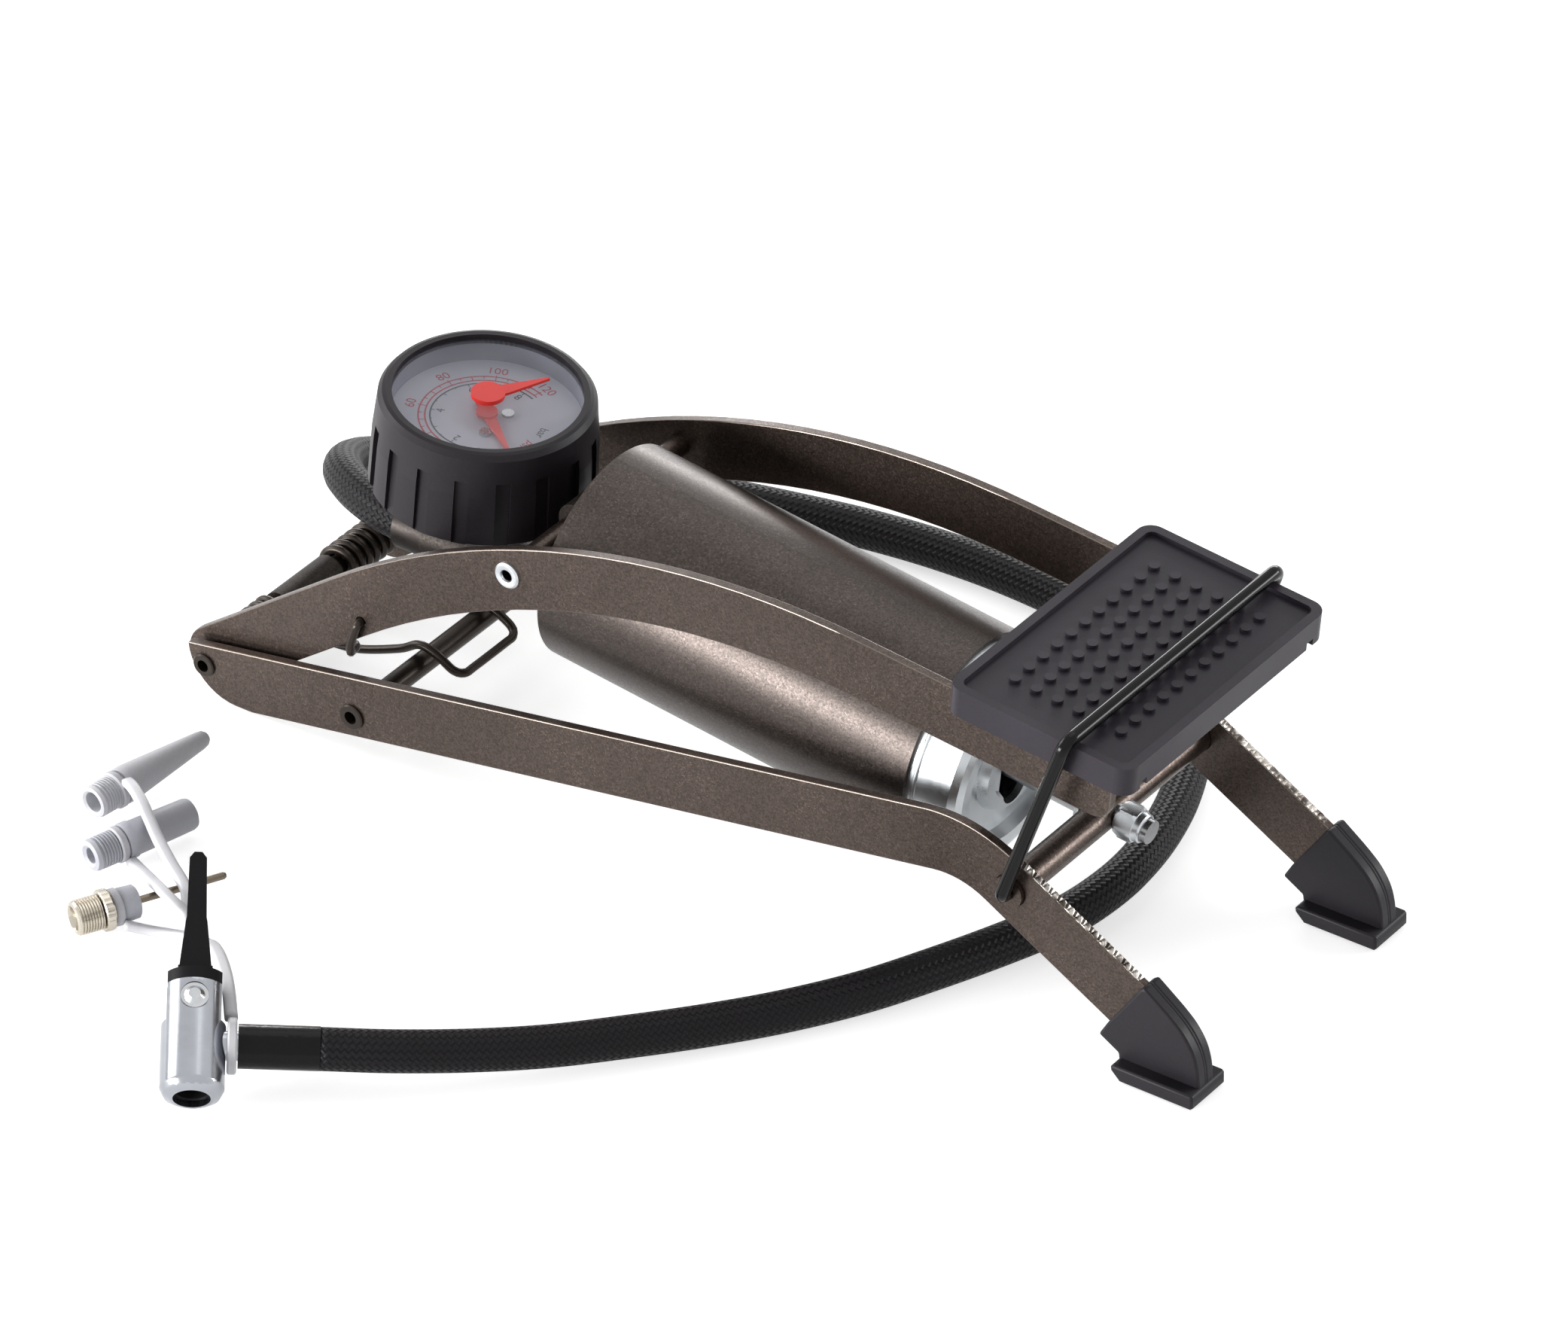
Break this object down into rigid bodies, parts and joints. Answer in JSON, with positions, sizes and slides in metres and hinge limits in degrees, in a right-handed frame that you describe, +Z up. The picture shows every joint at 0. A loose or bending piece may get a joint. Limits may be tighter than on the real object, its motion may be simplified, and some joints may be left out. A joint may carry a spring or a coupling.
{
  "type": "foot pump",
  "caption": "Single barrel foot pump: scissor frame with studded pedal, wire bail, piston and barrel, round pressure gauge, braided hose and lever chuck with adaptors.",
  "frame": {"origin": "middle of the pump's base on the floor, counted without the hose and what is on it", "axes": "+X toward the pedal end, +Y across to the left seen from behind the gauge, +Z up"},
  "size_m": [0.3037, 0.2924, 0.0902],
  "materials": {
    "bronze_paint": "satin metallic",
    "dark_steel": "satin black",
    "plated": "bright zinc plating",
    "cast": "cast, painted",
    "steel": "ground",
    "black_plastic": "moulded, fine grain",
    "boot_rubber": "matt",
    "foot_rubber": "matt",
    "dial_face": "printed",
    "lens": "clear moulded",
    "needle_red": "painted",
    "marker_red": "moulded",
    "brass": "turned",
    "hose_braid": "woven cover",
    "sleeve_black": "shrunk sleeve",
    "ferrule": "crimped",
    "white_strap": "translucent",
    "grey_plastic": "moulded",
    "seal": "matt"
  },
  "bodies": {
    "base": {"lower_rail_left": "bronze_paint", "lower_rail_right": "bronze_paint", "rear_axle": "dark_steel", "rear_bush": "dark_steel", "lower_cross_tube": "dark_steel", "front_foot_left": "foot_rubber", "front_foot_right": "foot_rubber", "return_spring": "dark_steel", "hose_loop": "hose_braid", "hose_run": "hose_braid", "hose_sleeve": "sleeve_black", "chuck_body": "plated", "chuck_core": "black_plastic", "chuck_gasket": "seal", "chuck_pin": "plated", "strap": "white_strap", "cone_nozzle": "grey_plastic", "plug_nozzle": "grey_plastic", "ball_needle": "brass"},
    "pedal_frame": {"upper_rail_left": "bronze_paint", "upper_rail_right": "bronze_paint", "head_pin": "plated", "pedal_cross_tube": "bronze_paint", "pedal_pad": "black_plastic"},
    "barrel": {"barrel_tube": "bronze_paint", "front_cap": "plated", "barrel_head": "cast", "check_valve": "steel", "gauge_stem": "brass", "gauge_boot": "boot_rubber", "gauge_case": "steel", "gauge_dial": "dial_face", "dial_screws": "plated", "bourdon_tube": "brass", "gauge_lens": "lens", "hose_ferrule": "ferrule"},
    "needle": {"gauge_needle": "needle_red"},
    "marker": {"marker_pointer": "marker_red"},
    "rod": {"crossbar": "bronze_paint", "piston_rod": "steel", "rod_washer": "plated", "lock_nut": "plated"},
    "piston": {"piston": "grey_plastic", "piston_cup": "seal"},
    "bail": {"lock_bail": "dark_steel"},
    "lever": {"chuck_lever": "black_plastic"}
  },
  "joints": [
    {"name": "lift", "type": "hinge", "parent": "base", "child": "pedal_frame", "pos_m": [-0.14175, 0, 0.0087], "axis": [0, -1, 0], "range_deg": [0, 36], "deforming": ["return_spring", "hose_loop"]},
    {"name": "barrel_swing", "type": "hinge", "parent": "pedal_frame", "child": "barrel", "pos_m": [-0.05085, 0, 0.0666], "axis": [0, -1, 0], "range_deg": [-45.77, 0]},
    {"name": "piston_slide", "type": "slide", "parent": "barrel", "child": "piston", "axis": [0.9918, 0, -0.1275], "range_m": [0, 0.06122]},
    {"name": "rod_swing", "type": "hinge", "parent": "base", "child": "rod", "pos_m": [0.09555, 0, 0.0371], "axis": [0, -1, 0], "range_deg": [-9.77, 0]},
    {"name": "bail_swing", "type": "hinge", "parent": "base", "child": "bail", "pos_m": [0.09555, 0, 0.0371], "axis": [0, 1, 0], "range_deg": [0, 80.01]},
    {"name": "needle_turn", "type": "hinge", "parent": "barrel", "child": "needle", "pos_m": [-0.08302, 0, 0.0809], "axis": [-0.1011, 0, -0.9949], "range_deg": [0, 270], "stiffness_Nm_per_rad": 0.0005},
    {"name": "marker_turn", "type": "hinge", "parent": "barrel", "child": "marker", "pos_m": [-0.08242, 0, 0.08677], "axis": [0.1011, 0, 0.9949], "range_deg": [-90, 90]},
    {"name": "chuck_lever_swing", "type": "hinge", "parent": "base", "child": "lever", "pos_m": [-0.04812, -0.1607, 0.01714], "axis": [0.333, -0.3182, 0.8876], "range_deg": [0, 85]}
  ],
  "couplings": [
    {"joint": "barrel_swing", "follows": "lift", "ratio": -1.2711},
    {"joint": "rod_swing", "follows": "lift", "ratio": -0.27111},
    {"joint": "piston_slide", "follows": "lift", "m_per_rad": 0.097424},
    {"joint": "bail_swing", "follows": "lift", "ratio": 2.2222}
  ]
}
